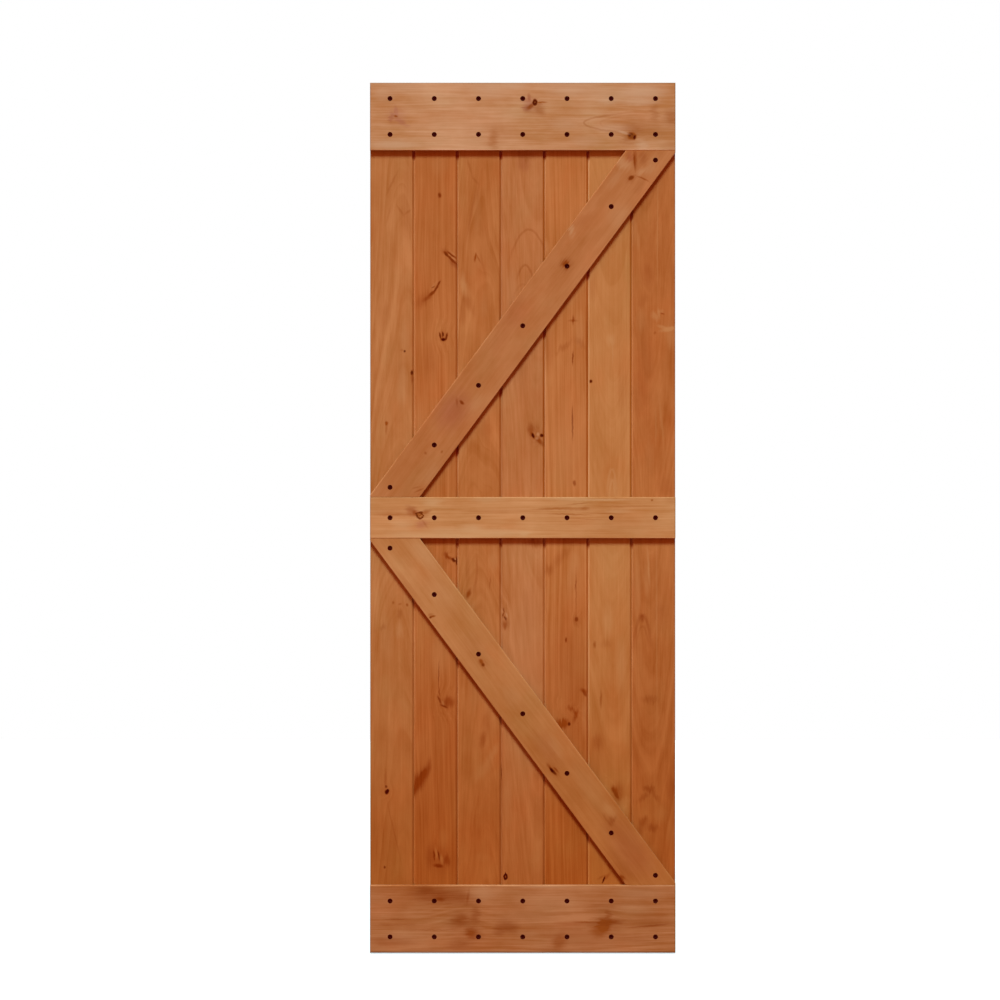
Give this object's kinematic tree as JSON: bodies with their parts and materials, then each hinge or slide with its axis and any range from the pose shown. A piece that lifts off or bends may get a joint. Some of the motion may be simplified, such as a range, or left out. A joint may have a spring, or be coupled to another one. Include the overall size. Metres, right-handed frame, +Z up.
{
  "type": "sliding barn door",
  "caption": "Plank barn door slab: tongue-and-groove boards with rails and diagonal braces in a K screwed to the front, made to hang from a sliding track.",
  "frame": {"origin": "middle of the door's bottom edge, at half its width and half its thickness", "axes": "+Z up the door, -Y out of the front that carries the rails and braces, +X to the right as seen from the front"},
  "size_m": [0.749, 0.035, 2.134],
  "materials": {
    "plank_wood": "satin",
    "rail_wood": "satin",
    "brace_wood": "satin",
    "screw_black": "matte"
  },
  "bodies": {
    "root": {"plank_1": "plank_wood", "plank_2": "plank_wood", "plank_3": "plank_wood", "plank_4": "plank_wood", "plank_5": "plank_wood", "plank_6": "plank_wood", "plank_7": "plank_wood", "top_rail": "rail_wood", "middle_rail": "rail_wood", "bottom_rail": "rail_wood", "upper_brace": "brace_wood", "lower_brace": "brace_wood", "top_rail_screws": "screw_black", "middle_rail_screws": "screw_black", "bottom_rail_screws": "screw_black", "upper_brace_screws": "screw_black", "lower_brace_screws": "screw_black"}
  },
  "joints": []
}
